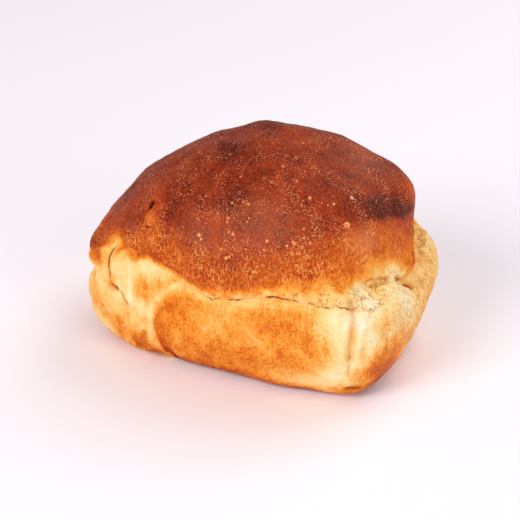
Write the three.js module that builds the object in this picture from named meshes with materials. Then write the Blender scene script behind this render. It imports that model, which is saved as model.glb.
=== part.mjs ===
// A small white loaf baked in an open rectangular tin: one solid body of bread.
//
// Frame: millimetres, +Z up, +X along the loaf. The loaf stands on its flat base, and the origin is the
// middle of the base's bounding box. The front is the long side at -Y.
//
// The solid is one closed skin. It starts as a gridded cube. The cube's bottom becomes the flat base, and
// its sides become, from below, the rounded foot, the side that baked against the tin, the torn band and the
// crown's wall; its top becomes the dome. The rim, where the tin ended, and the lip, where the crown's own
// skin begins, are whole rows of the grid, so both stay crisp while they wander up and down round the loaf.

import * as THREE from 'three';
import { mergeVertices } from 'three/addons/utils/BufferGeometryUtils.js';

// ---------------------------------------------------------------- grid of the skin

const CELLS_LONG = 36;
const CELLS_WIDE = 22;
const FOOT_ROWS = 3;
const SIDE_ROWS = 11;
const TEAR_ROWS = 3;
const WALL_ROWS = 10;

const CELLS_HIGH = FOOT_ROWS + SIDE_ROWS + TEAR_ROWS + WALL_ROWS;
const RIM_ROW = FOOT_ROWS + SIDE_ROWS;
const LIP_ROW = RIM_ROW + TEAR_ROWS;
// Angle up the dome's profile where the cube's sides give way to its top.
const SHOULDER_ANGLE = 48;

// ---------------------------------------------------------------- tin-baked body

const RIM_HALF_LENGTH = 85.4;
const RIM_HALF_WIDTH = 54.9;
const RIM_SQUARENESS = 4;
const SIDE_TAPER = 10.6;
const SIDE_BELLY = 5.4;
const FOOT_RADIUS = 8.5;
const LOAF_SHIFT_BACK = 0.5;

// Height of the rim: a mean, a slope along and across the loaf, a saddle, and local rises by compass angle
// (0 is the right-hand end, -90 the front).
const RIM_HEIGHT = 50.1;
const RIM_RISE_TO_RIGHT = 7;
const RIM_RISE_TO_FRONT = 5.8;
const RIM_SADDLE = -1;
const RIM_RISES = [
  { at: 40, spread: 17, rise: 4 },
  { at: 3, spread: 15, rise: -9 },
  { at: -39, spread: 9, rise: -4 },
  { at: -88, spread: 12, rise: -6 },
  { at: -113, spread: 9, rise: 4.5 },
  { at: -150, spread: 16, rise: -5.5 },
];

// ---------------------------------------------------------------- torn band

// Height of the torn band, from the rim to the crown's lip, by compass angle.
const TEAR_HEIGHT = 2.5;
const TEAR_RISES = [
  { at: -47, spread: 13, rise: 7.5 },
  { at: -127, spread: 22, rise: 13 },
  { at: 42, spread: 16, rise: 6.5 },
];
// How far below the rim the side starts to roll in towards the lip, and how much later it does most of it.
const ROLL_DEPTH = 5;
const ROLL_RISES = [{ at: 0, spread: 45, rise: 7 }];
const ROLL_LATENESS = 3;
// Groove pressed in along the rim: the crack along the front and the waist round the left-hand end.
const GROOVE_HALF_HEIGHT = 1.5;
const GROOVE_HALF_HEIGHT_RISES = [{ at: -160, spread: 30, rise: 4 }];
const GROOVE_DEPTHS = [
  { at: -76, spread: 20, rise: 1.2 },
  { at: -157, spread: 18, rise: 5.5 },
  { at: 170, spread: 24, rise: 3 },
  { at: 100, spread: 40, rise: 1.5 },
];

// ---------------------------------------------------------------- crown

const CROWN_HALF_LENGTH_RIGHT = 75.3;
const CROWN_HALF_LENGTH_LEFT = 87.6;
const CROWN_HALF_WIDTH = 56.3;
const CROWN_SQUARENESS = 2.9;
const CROWN_LEAN = new THREE.Vector2(1.5, 1.4);
const SUMMIT_SQUARENESS = 2.2;
const SUMMIT_HEIGHT = 114.8;
const SUMMIT_SLOPE = 0.02;
const SUMMIT_DROP_TO_ENDS = -0.11;
const SUMMIT_REACH = 81;
// Fullness of the dome's profile, 2 being an ellipse, and how much fuller it is at the right-hand end.
const DOME_FULLNESS = 2.49;
const DOME_FULLNESS_TO_RIGHT = 0.55;

// ---------------------------------------------------------------- swellings, creases and folds

// Rounded swellings, or hollows where the rise is negative, pushed out from the heart of the loaf.
const HEART_HEIGHT = 49.5;
const STEEPEST_DOWN_PUSH = -9;
const SWELLINGS = [
  { name: 'summit', at: [-3, 27, 106], radius: 20, rise: 0.9 },
  { name: 'peak of the summit', at: [-11, 25, 110], radius: 8, rise: 0.8 },
  { name: 'dip left of the peak', at: [-22, 22, 107], radius: 7, rise: -0.9 },
  { name: 'dip right of the peak', at: [7, 31, 110], radius: 12, rise: -0.8 },
  { name: 'right shoulder', at: [68.4, 32.4, 88.2], radius: 18, rise: 5.2 },
  { name: 'hollow under the right shoulder', at: [75, 24, 76], radius: 7, rise: -1.8 },
  { name: 'saddle', at: [52.2, 39.6, 100.8], radius: 18, rise: 1.1 },
  { name: 'back of the right shoulder', at: [31, 25, 109], radius: 15, rise: 1.2 },
  { name: 'left shoulder', at: [-70.2, 16.2, 72], radius: 23.4, rise: 3 },
  { name: 'dip of the left shoulder', at: [-75, -3, 73], radius: 7, rise: -1.4 },
  { name: 'left foot', at: [-79.2, -19.8, 19.8], radius: 16.2, rise: 1.2 },
  { name: 'front of the left foot', at: [-80, -38, 24], radius: 11, rise: -1.4 },
  { name: 'left belly', at: [-79, -33, 56], radius: 11, rise: 3.5 },
  { name: 'right base corner', at: [75.6, -21.6, 7.2], radius: 18, rise: -0.9 },
  { name: 'right foot', at: [82.8, 18, 27], radius: 19.8, rise: -2 },
  { name: 'edge of the right foot', at: [81, 9, 11], radius: 12, rise: -1.1 },
  { name: 'right lobe', at: [84, 32, 43], radius: 11, rise: 1.3 },
  { name: 'right jowl', at: [77, 9, 56], radius: 9, rise: 4.5 },
  { name: 'left toe', at: [-46, -47, 6], radius: 7, rise: 2.2 },
  { name: 'hollow over the left toe', at: [-60, -46, 15], radius: 10, rise: -1.4 },
  { name: 'front foot', at: [31, -44, 3], radius: 9, rise: 1.4 },
  { name: 'foot of the right corner', at: [65, -39, 4], radius: 7, rise: 1.4 },
];

// Furrows along short paths over the skin, each as deep as its depth along its middle.
const FURROWS = [
  {
    name: 'front right corner crease',
    path: [[67, -45, 57], [69, -47, 52], [67.5, -47, 40], [67, -47, 29], [65.5, -45, 19], [64.5, -43, 12]],
    width: 3.2,
    depth: 2.6,
  },
  {
    name: 'front left corner crease',
    path: [[-60, -47, 63], [-62, -49, 58], [-62, -50, 49], [-60, -49, 43], [-54, -52, 39]],
    width: 3.2,
    depth: 2.2,
  },
  {
    name: 'fold above the left foot',
    path: [[-46, -54, 29], [-42, -53, 19], [-44, -51, 11], [-47, -48, 4]],
    width: 3.2,
    depth: 1.6,
  },
];
// Height over which the furrows fade out towards the flat base.
const FLAT_BASE_MARGIN = 6;

const CRUST = { color: 0xa8562c, roughness: 0.62, metalness: 0 };

// ---------------------------------------------------------------- small sums

const { clamp, degToRad, euclideanModulo, lerp, radToDeg, smoothstep } = THREE.MathUtils;

// A value that rises to 1 at one compass angle and fades on both sides of it.
function bell(angle, { at, spread }) {
  const turn = euclideanModulo(angle - at + 180, 360) - 180;
  return Math.exp(-((turn / spread) ** 2));
}

const sumOfRises = (angle, rises) => rises.reduce((sum, entry) => sum + entry.rise * bell(angle, entry), 0);

const tearHeight = (angle) => TEAR_HEIGHT + sumOfRises(angle, TEAR_RISES);

function rimHeight(angle) {
  const turn = degToRad(angle);
  const slopes = RIM_RISE_TO_RIGHT * Math.cos(turn) - RIM_RISE_TO_FRONT * Math.sin(turn);
  return RIM_HEIGHT + slopes + RIM_SADDLE * Math.cos(2 * turn) + sumOfRises(angle, RIM_RISES);
}

// How far the skin has rolled in at a height above the rim: 0 on the tin-baked side, 1 from the lip upwards.
function rollShare(aboveRim, angle) {
  const roll = ROLL_DEPTH + sumOfRises(angle, ROLL_RISES);
  return clamp((aboveRim + roll) / (roll + tearHeight(angle)), 0, 1) ** ROLL_LATENESS;
}

function grooveDepth(aboveRim, angle) {
  const halfHeight = GROOVE_HALF_HEIGHT + sumOfRises(angle, GROOVE_HALF_HEIGHT_RISES);
  return sumOfRises(angle, GROOVE_DEPTHS) * Math.exp(-((aboveRim / halfHeight) ** 2));
}

// A point of the cube's square outline, moved to a rounded rectangle with the given half sizes.
function outline(cube, halfRight, halfLeft, halfWidth, squareness) {
  const size = (Math.abs(cube.x) ** squareness + Math.abs(cube.y) ** squareness) ** (1 / squareness);
  if (size === 0) return new THREE.Vector2();
  const halfLength = cube.x > 0 ? halfRight : halfLeft;
  return new THREE.Vector2((cube.x / size) * halfLength, (cube.y / size) * halfWidth);
}

// The tin's outline and the crown's, both `grow` wider on every side.
const tinOutline = (cube, grow) =>
  outline(cube, RIM_HALF_LENGTH + grow, RIM_HALF_LENGTH + grow, RIM_HALF_WIDTH + grow, RIM_SQUARENESS);

const crownOutline = (cube, grow, squareness) =>
  outline(
    cube,
    CROWN_HALF_LENGTH_RIGHT + grow,
    CROWN_HALF_LENGTH_LEFT + grow,
    CROWN_HALF_WIDTH + grow,
    squareness,
  );

// ---------------------------------------------------------------- the two halves of the skin

// The base, foot and side, up to the rim.
function bodyPoint(cube, row, angle) {
  const foot = clamp(row / FOOT_ROWS, 0, 1) * (Math.PI / 2);
  const climb = clamp((row - FOOT_ROWS) / SIDE_ROWS, 0, 1);
  const rim = rimHeight(angle);
  const z = FOOT_RADIUS * (1 - Math.cos(foot)) + (rim - FOOT_RADIUS) * climb;
  const share = z / rim;
  const groove = grooveDepth(z - rim, angle);
  const taper = SIDE_TAPER * (1 - share) + FOOT_RADIUS * (1 - Math.sin(foot));
  const grow = SIDE_BELLY * Math.sin(Math.PI * share) - taper - groove;
  const edge = tinOutline(cube, grow);
  edge.lerp(crownOutline(cube, -groove, CROWN_SQUARENESS), rollShare(z - rim, angle));
  const reach = row === 0 ? Math.max(Math.abs(cube.x), Math.abs(cube.y)) : 1;
  return new THREE.Vector3(edge.x * reach, edge.y * reach, z);
}

// How far in and up the dome's rounded profile lies at an angle up it.
function domeProfile(climb, angle) {
  const fullness = DOME_FULLNESS + DOME_FULLNESS_TO_RIGHT * Math.cos(degToRad(angle));
  const inward = Math.abs(Math.cos(degToRad(climb)));
  const up = Math.sin(degToRad(climb));
  const size = (inward ** fullness + up ** fullness) ** (-1 / fullness);
  return { inward: inward * size, rise: up * size };
}

const summitHeight = (along) =>
  SUMMIT_HEIGHT * (1 + SUMMIT_SLOPE * along + SUMMIT_DROP_TO_ENDS * along ** 2);

// The angle up the dome's profile where the torn band ends.
function lipAngle(cube, angle) {
  const along = crownOutline(cube, 0, CROWN_SQUARENESS).x / SUMMIT_REACH;
  const rise = tearHeight(angle) / (summitHeight(along) - rimHeight(angle));
  return radToDeg(Math.atan(rise));
}

// The torn band and the dome: `climb` is the angle up the profile, from 0 at the rim to 90 at the summit.
function crownPoint(cube, climb, angle) {
  const { inward, rise } = domeProfile(climb, angle);
  const squareness = lerp(CROWN_SQUARENESS, SUMMIT_SQUARENESS, smoothstep(rise, 0, 1));
  const lean = CROWN_LEAN.clone().multiplyScalar(rise);
  const middle = crownOutline(cube, 0, squareness).multiplyScalar(inward).add(lean);
  const rim = rimHeight(angle);
  const z = lerp(rim, summitHeight(middle.x / SUMMIT_REACH), rise);
  const groove = grooveDepth(z - rim, angle);
  const dome = crownOutline(cube, -groove, squareness).multiplyScalar(inward).add(lean);
  const place = tinOutline(cube, -groove).multiplyScalar(inward).lerp(dome, rollShare(z - rim, angle));
  return new THREE.Vector3(place.x, place.y, z);
}

function skinPoint(cube) {
  const angle = radToDeg(Math.atan2(cube.y, cube.x));
  const row = Math.round(((cube.z + 1) / 2) * CELLS_HIGH);
  const lip = lipAngle(cube, angle);
  let point;
  if (cube.z >= 1) {
    const fromMiddle = Math.max(Math.abs(cube.x), Math.abs(cube.y));
    point = crownPoint(cube, lerp(90, SHOULDER_ANGLE, fromMiddle), angle);
  } else if (row > LIP_ROW) {
    point = crownPoint(cube, lerp(lip, SHOULDER_ANGLE, (row - LIP_ROW) / WALL_ROWS), angle);
  } else if (row > RIM_ROW) {
    point = crownPoint(cube, lip * ((row - RIM_ROW) / TEAR_ROWS), angle);
  } else {
    point = bodyPoint(cube, row, angle);
  }
  point.y += LOAF_SHIFT_BACK;
  return point;
}

// ---------------------------------------------------------------- relief

function swell(point) {
  for (const { at, radius, rise } of SWELLINGS) {
    const centre = new THREE.Vector3(...at);
    const push = new THREE.Vector3(at[0], at[1], Math.max(at[2] - HEART_HEIGHT, STEEPEST_DOWN_PUSH));
    const share = Math.exp(-point.distanceToSquared(centre) / radius ** 2);
    point.addScaledVector(push.normalize(), rise * share);
  }
  point.z = Math.max(point.z, 0);
  return point;
}

function distanceToPath(point, path) {
  const nearest = new THREE.Vector3();
  let least = Infinity;
  for (let i = 1; i < path.length; i += 1) {
    const run = new THREE.Line3(new THREE.Vector3(...path[i - 1]), new THREE.Vector3(...path[i]));
    run.closestPointToPoint(point, true, nearest);
    least = Math.min(least, nearest.distanceTo(point));
  }
  return least;
}

function furrowDepth(point) {
  const fade = smoothstep(point.z, 0, FLAT_BASE_MARGIN);
  return FURROWS.reduce((sum, { path, width, depth }) => {
    const across = distanceToPath(point, path) / width;
    return sum + fade * depth * Math.exp(-(across ** 2));
  }, 0);
}

// ---------------------------------------------------------------- the solid

function movePoints(geometry, move) {
  const places = geometry.getAttribute('position');
  const point = new THREE.Vector3();
  for (let i = 0; i < places.count; i += 1) {
    point.fromBufferAttribute(places, i);
    const moved = move(point, i);
    places.setXYZ(i, moved.x, moved.y, moved.z);
  }
}

function loafGeometry() {
  const box = new THREE.BoxGeometry(2, 2, 2, CELLS_LONG, CELLS_WIDE, CELLS_HIGH);
  box.deleteAttribute('normal');
  box.deleteAttribute('uv');
  const geometry = mergeVertices(box);
  movePoints(geometry, (cube) => swell(skinPoint(cube)));
  geometry.computeVertexNormals();
  const outward = geometry.getAttribute('normal').clone();
  const normal = new THREE.Vector3();
  movePoints(geometry, (point, i) => {
    normal.fromBufferAttribute(outward, i);
    return point.addScaledVector(normal, -furrowDepth(point));
  });
  geometry.computeBoundingBox();
  const middle = geometry.boundingBox.getCenter(new THREE.Vector3());
  geometry.translate(-middle.x, -middle.y, -geometry.boundingBox.min.z);
  geometry.computeVertexNormals();
  return geometry;
}

const loaf = new THREE.Mesh(loafGeometry(), new THREE.MeshStandardMaterial(CRUST));
loaf.name = 'loaf';

const model = new THREE.Group();
model.add(loaf);

export default model;
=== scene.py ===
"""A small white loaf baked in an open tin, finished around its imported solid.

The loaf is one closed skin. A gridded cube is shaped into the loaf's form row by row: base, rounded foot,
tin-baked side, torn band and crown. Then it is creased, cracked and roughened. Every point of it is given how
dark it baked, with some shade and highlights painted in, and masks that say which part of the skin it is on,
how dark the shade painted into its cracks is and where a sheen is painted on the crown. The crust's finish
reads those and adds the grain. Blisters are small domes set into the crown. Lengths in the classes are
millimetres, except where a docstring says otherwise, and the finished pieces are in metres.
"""

import logging
import math
import random
from collections.abc import Mapping, Sequence
from dataclasses import dataclass, field
from enum import Enum

import bmesh
import bpy
import numpy as np
from mathutils import Color, Matrix, Vector, noise
from mathutils.bvhtree import BVHTree


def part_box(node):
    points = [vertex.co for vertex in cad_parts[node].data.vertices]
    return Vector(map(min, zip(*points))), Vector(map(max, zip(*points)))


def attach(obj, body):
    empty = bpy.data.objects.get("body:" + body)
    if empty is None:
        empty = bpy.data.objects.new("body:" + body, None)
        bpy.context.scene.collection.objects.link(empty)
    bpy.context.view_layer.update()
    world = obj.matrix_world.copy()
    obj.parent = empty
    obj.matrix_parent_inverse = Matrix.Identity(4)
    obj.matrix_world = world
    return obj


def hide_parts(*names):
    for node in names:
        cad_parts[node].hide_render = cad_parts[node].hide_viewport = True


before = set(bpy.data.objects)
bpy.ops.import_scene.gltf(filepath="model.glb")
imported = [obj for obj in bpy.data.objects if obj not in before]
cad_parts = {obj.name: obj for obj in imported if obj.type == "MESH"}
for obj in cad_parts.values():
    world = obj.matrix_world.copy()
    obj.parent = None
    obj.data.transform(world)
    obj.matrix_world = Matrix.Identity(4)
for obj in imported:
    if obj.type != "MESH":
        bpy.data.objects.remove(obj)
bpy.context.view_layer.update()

log = logging.getLogger("tin_loaf")

MM = 0.001
BODY = "root"
NODE = "loaf"
# Width and height of the photo, in pixels.
PHOTO_WIDTH = 520
# Brightest value of a screen colour.
SCREEN_WHITE = 255
# How far off the skin a path over it may lie, and a distance past everything, in millimetres.
OFF_SKIN = 6.0
FAR = 1000.0
# Below this, a distance on the cube counts as none.
NOTHING = 1e-9

Point = tuple[float, float, float]
Span = tuple[float, float]
Colour = tuple[float, float, float, float]


# ---------------------------------------------------------------- small sums


def srgb(red: int, green: int, blue: int) -> Colour:
    """Turns a screen colour into the linear colour a shader takes.

    Args:
        red: Red, from 0 to 255.
        green: Green, from 0 to 255.
        blue: Blue, from 0 to 255.

    Returns:
        The linear colour with full alpha.
    """
    screen = Color((red / SCREEN_WHITE, green / SCREEN_WHITE, blue / SCREEN_WHITE))
    return (*screen.from_srgb_to_scene_linear(), 1.0)


def smooth(value: np.ndarray | float) -> np.ndarray:
    """Eases a value from 0 to 1, flat at both ends."""
    share = np.clip(value, 0.0, 1.0)
    return share * share * (3 - 2 * share)


def crossing(value: np.ndarray, width: np.ndarray | float) -> np.ndarray:
    """Eases from 0 to 1 over this width, and is half-way where the value is 0."""
    return smooth(value / width + 0.5)


def mix(low: np.ndarray | float, high: np.ndarray | float, share: np.ndarray | float) -> np.ndarray:
    """Goes from low to high as share goes from 0 to 1."""
    return low + (high - low) * share


def unevenness(places: np.ndarray, grain: Point, octaves: int = 1, seed: float = 0.0) -> np.ndarray:
    """Smooth noise over points, about -1 to 1.

    Args:
        places: Points in millimetres, one a row.
        grain: Size of the noise's lumps along each axis, in millimetres.
        octaves: How many finer layers are added, each half as large and half as strong.
        seed: Offset that gives another pattern.

    Returns:
        One value for each point.
    """
    scaled = places / np.array(grain) + seed
    total = np.zeros(len(places))
    for octave in range(octaves):
        fine = 2.0**octave
        values = [noise.noise(row) for row in (scaled * fine).tolist()]
        total += np.array(values) / fine
    return total


def path_distance(places: np.ndarray, outward: np.ndarray, path: Sequence[Point]) -> np.ndarray:
    """Distance along the skin from each point to a path of straight runs near it.

    Args:
        places: Points on the skin.
        outward: The skin's outward direction at each point.
        path: The ends of the runs; they may lie a little off the skin.

    Returns:
        One distance for each point; points on another side of the loaf get a large one.
    """
    least = np.full(len(places), FAR)
    for start, end in zip(path[:-1], path[1:]):
        run = np.subtract(end, start)
        along = np.clip((places - start) @ run / (run @ run), 0.0, 1.0)
        offset = places - (np.array(start) + along[:, None] * run)
        height = np.sum(offset * outward, axis=1)
        aside = np.linalg.norm(offset - height[:, None] * outward, axis=1)
        least = np.where(np.abs(height) < OFF_SKIN, np.minimum(least, aside), least)
    return least


# ---------------------------------------------------------------- shader building


class Signal:
    """The value of one socket, with the arithmetic that the finishes use."""

    def __init__(self, board: "Board", socket: bpy.types.NodeSocket) -> None:
        """Wraps an output socket of a node on the board."""
        self.board = board
        self.socket = socket

    def _math(self, operation: str, first: object, second: object) -> "Signal":
        """Adds one Math node for an expression on two values."""
        return self.board.add("ShaderNodeMath", {"operation": operation}, {0: first, 1: second})

    def __add__(self, other: object) -> "Signal":
        """This value plus another."""
        return self._math("ADD", self, other)

    def __radd__(self, other: object) -> "Signal":
        """Another value plus this one."""
        return self._math("ADD", other, self)

    def __sub__(self, other: object) -> "Signal":
        """This value less another."""
        return self._math("SUBTRACT", self, other)

    def __rsub__(self, other: object) -> "Signal":
        """Another value less this one."""
        return self._math("SUBTRACT", other, self)

    def __mul__(self, other: object) -> "Signal":
        """This value times another."""
        return self._math("MULTIPLY", self, other)

    def __rmul__(self, other: object) -> "Signal":
        """Another value times this one."""
        return self._math("MULTIPLY", other, self)


class Board:
    """The node tree of one finish."""

    # The Mix node's colour sockets go by number, because its number and vector sockets have the same names.
    MIX_FIRST = 6
    MIX_SECOND = 7
    MIX_RESULT = 2
    # How much of a dot's radius is solid, and how sharply chance decides whether there is a dot.
    DOT_CORE = 0.5
    CHANCE_WIDTH = 0.02

    def __init__(self, name: str) -> None:
        """Makes an empty material.

        Args:
            name: The material's name.
        """
        self.material = bpy.data.materials.new(name)
        self.material.use_nodes = True
        self.tree = self.material.node_tree
        self.tree.nodes.clear()

    def add(
        self,
        kind: str,
        settings: Mapping[str, object] | None = None,
        inputs: Mapping[int | str, object] | None = None,
        output: int | str = 0,
    ) -> Signal:
        """Adds a node.

        Args:
            kind: The node's type.
            settings: Its properties, set before its sockets; "stops" is a ramp's list of place and colour.
            inputs: A value or a Signal for each named or numbered socket.
            output: The socket whose value is returned.

        Returns:
            The value of the output socket.
        """
        node = self.tree.nodes.new(kind)
        for name, value in (settings or {}).items():
            if name == "stops":
                self._set_stops(node.color_ramp, value)
            else:
                setattr(node, name, value)
        for key, value in (inputs or {}).items():
            if isinstance(value, Signal):
                self.tree.links.new(value.socket, node.inputs[key])
            else:
                node.inputs[key].default_value = value
        return Signal(self, node.outputs[output])

    @staticmethod
    def _set_stops(ramp: bpy.types.ColorRamp, stops: Sequence[tuple[float, Colour]]) -> None:
        """Gives a ramp its stops.

        Args:
            ramp: The ramp of a new node, which has two stops.
            stops: Place and colour of each stop, in order.
        """
        while len(ramp.elements) < len(stops):
            ramp.elements.new(1.0)
        for element, (place, colour) in zip(ramp.elements, stops):
            element.position = place
            element.color = colour

    def millimetres(self) -> Signal:
        """The object's own coordinates, in millimetres."""
        place = self.add("ShaderNodeTexCoord", output="Object")
        return self.add("ShaderNodeVectorMath", {"operation": "SCALE"}, {0: place, "Scale": 1 / MM})

    def attribute(self, name: str) -> Signal:
        """A number that the mesh carries at each point."""
        return self.add("ShaderNodeAttribute", {"attribute_name": name}, output="Fac")

    def rise(self, value: Signal, low: float, high: float) -> Signal:
        """Eases from 0 to 1 as the value goes from low to high.

        Args:
            value: What is eased.
            low: The value where the result is still 0.
            high: The value where the result reaches 1.

        Returns:
            The eased share.
        """
        return self.add(
            "ShaderNodeMapRange",
            {"interpolation_type": "SMOOTHSTEP"},
            {"Value": value, "From Min": low, "From Max": high},
        )

    def stretch(self, place: Signal, grain: Point) -> Signal:
        """Coordinates in which a pattern's lumps have the given size along each axis."""
        scale = tuple(1 / size for size in grain)
        return self.add("ShaderNodeVectorMath", {"operation": "MULTIPLY"}, {0: place, 1: scale})

    def clouds(self, place: Signal, look: "Clouds") -> Signal:
        """Noise about zero, from about -0.5 to 0.5.

        Args:
            place: Coordinates in millimetres.
            look: The size and kind of the noise's lumps.

        Returns:
            The noise.
        """
        inputs = {
            "Vector": self.stretch(place, look.grain),
            "Scale": 1.0,
            "Detail": look.detail,
            "Roughness": look.roughness,
        }
        return self.add("ShaderNodeTexNoise", inputs=inputs) - 0.5

    def specks(self, place: Signal, look: "Specks") -> Signal:
        """Scattered round dots.

        Args:
            place: Coordinates in millimetres.
            look: Their spacing, size and number.

        Returns:
            A mask that is 1 in the middle of a dot and 0 outside it.
        """
        cells = {"Vector": self.stretch(place, (look.spacing,) * 3), "Scale": 1.0, "Randomness": 1.0}
        distance = self.add("ShaderNodeTexVoronoi", {"feature": "F1"}, cells, output="Distance")
        colour = self.add("ShaderNodeTexVoronoi", {"feature": "F1"}, cells, output="Color")
        chance = self.add("ShaderNodeSeparateColor", inputs={0: colour}, output="Red")
        radius = look.radius / look.spacing
        dot = 1 - self.rise(distance, radius * self.DOT_CORE, radius)
        return dot * self.rise(chance, 1 - look.share, 1 - look.share + self.CHANCE_WIDTH)

    def squiggles(self, place: Signal, look: "Clouds", width: float) -> Signal:
        """Thin curling lines where a noise crosses zero.

        Args:
            place: Coordinates in millimetres.
            look: The size and kind of the noise's lumps.
            width: How far the noise may be from zero on a line.

        Returns:
            A mask that is 1 along the middle of a line and 0 off it.
        """
        apart = self.add("ShaderNodeMath", {"operation": "ABSOLUTE"}, {0: self.clouds(place, look)})
        return 1 - self.rise(apart, 0.0, width)

    def blend(self, share: object, first: object, second: object) -> Signal:
        """A colour between two colours.

        Args:
            share: How much of the second colour, from 0 to 1.
            first: The colour where the share is 0.
            second: The colour where the share is 1.

        Returns:
            The blended colour.
        """
        settings = {"data_type": "RGBA", "clamp_factor": True}
        inputs = {0: share, self.MIX_FIRST: first, self.MIX_SECOND: second}
        return self.add("ShaderNodeMix", settings, inputs, output=self.MIX_RESULT)

    def bump(self, height: Signal) -> Signal:
        """A normal for a height in millimetres."""
        return self.add("ShaderNodeBump", inputs={"Height": height, "Distance": MM, "Strength": 1.0})

    def surface(self, inputs: Mapping[str, object]) -> bpy.types.Material:
        """Ends the tree in a Principled shader.

        Args:
            inputs: A value or a Signal for each of the shader's named sockets.

        Returns:
            The finished material.
        """
        shader = self.add("ShaderNodeBsdfPrincipled", inputs=inputs)
        end = self.tree.nodes.new("ShaderNodeOutputMaterial")
        self.tree.links.new(shader.socket, end.inputs["Surface"])
        return self.material


# ---------------------------------------------------------------- finishes


@dataclass(frozen=True)
class Clouds:
    """The look of a noise: the size of its lumps along each axis, and how much finer detail it has."""

    grain: Point
    detail: float = 2.0
    roughness: float = 0.5


@dataclass(frozen=True)
class Specks:
    """The look of scattered dots: mean distance between places for one, radius, and share of places taken."""

    spacing: float
    radius: float
    share: float


@dataclass(frozen=True)
class Mottling:
    """A noise that makes the crust darker and lighter.

    The strength holds all over. The others are what it gains on the tin-baked sides, on the stippled lower
    part of the crown and on the browned right-hand end.
    """

    look: Clouds
    strength: float = 0.0
    on_sides: float = 0.0
    on_stipple: float = 0.0
    on_toast: float = 0.0

    def change(self, noise_value: Signal, masks: Mapping[str, Signal]) -> Signal:
        """How much the bake changes.

        Args:
            noise_value: The noise, as the board gives it.
            masks: The values that the mesh carries at each point.

        Returns:
            The change at each point.
        """
        strength: Signal | float = self.strength
        for gain, name in ((self.on_sides, "sides"), (self.on_stipple, "stipple"), (self.on_toast, "toast")):
            if gain:
                strength = strength + masks[name] * gain
        return noise_value * strength


@dataclass(frozen=True)
class Ground:
    """What each layer of the crust reads: the place, the mesh's masks, the mottlings' noises and patches."""

    board: Board
    place: Signal
    masks: Mapping[str, Signal]
    noises: Mapping[str, Signal]
    patches: Signal


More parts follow.
